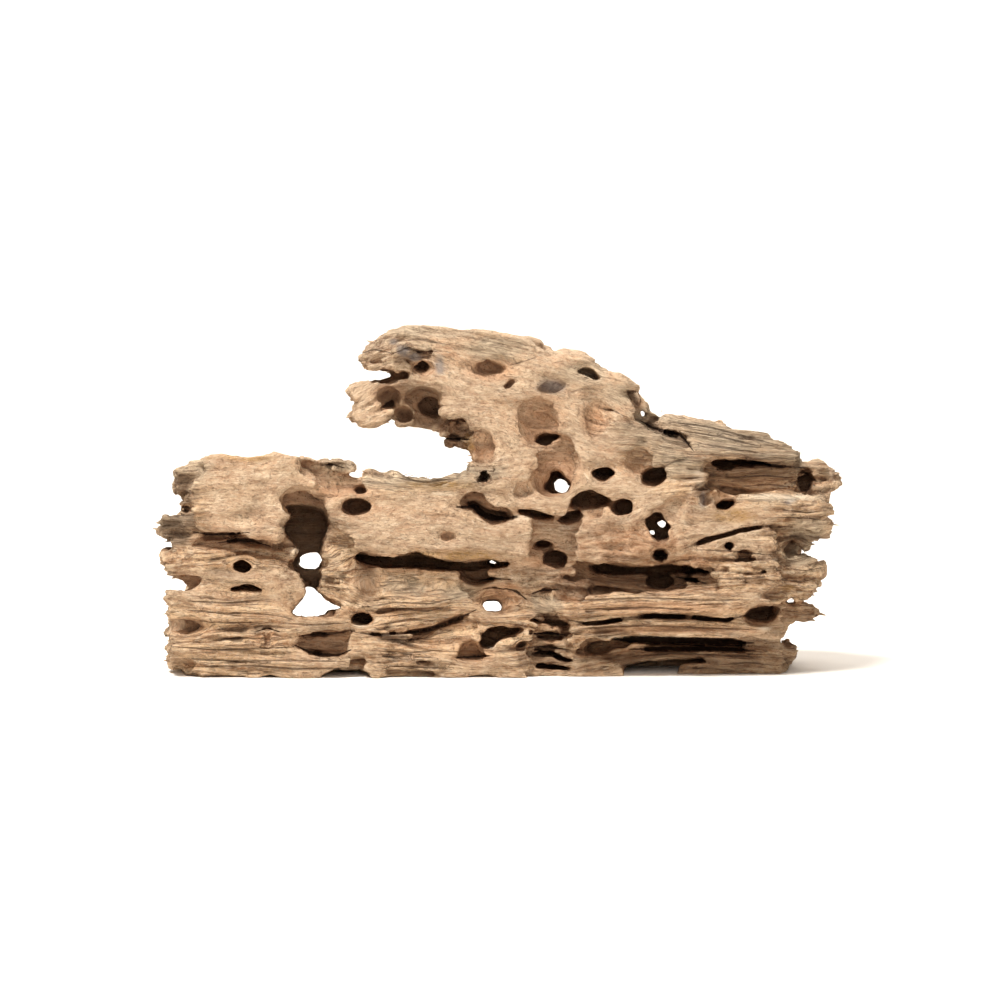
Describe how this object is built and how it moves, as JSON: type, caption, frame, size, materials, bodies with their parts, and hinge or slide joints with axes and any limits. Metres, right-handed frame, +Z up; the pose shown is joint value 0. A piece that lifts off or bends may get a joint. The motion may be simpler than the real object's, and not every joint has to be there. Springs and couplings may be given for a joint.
{
  "type": "honeycomb driftwood",
  "caption": "Weathered block of wood, bored through with rounded holes and split into ledges along its grain, with a broken forked arm that overhangs one side.",
  "frame": {"origin": "centre of the bounding box's floor, on the flat resting face", "axes": "+X along the length, to the right as seen from the front, -Y towards the front face with the most holes, +Z up"},
  "size_m": [0.3378, 0.1104, 0.1703],
  "materials": {
    "wood": "dry weathered wood, matt"
  },
  "bodies": {
    "root": {"honeycomb_wood": "wood"}
  },
  "joints": []
}
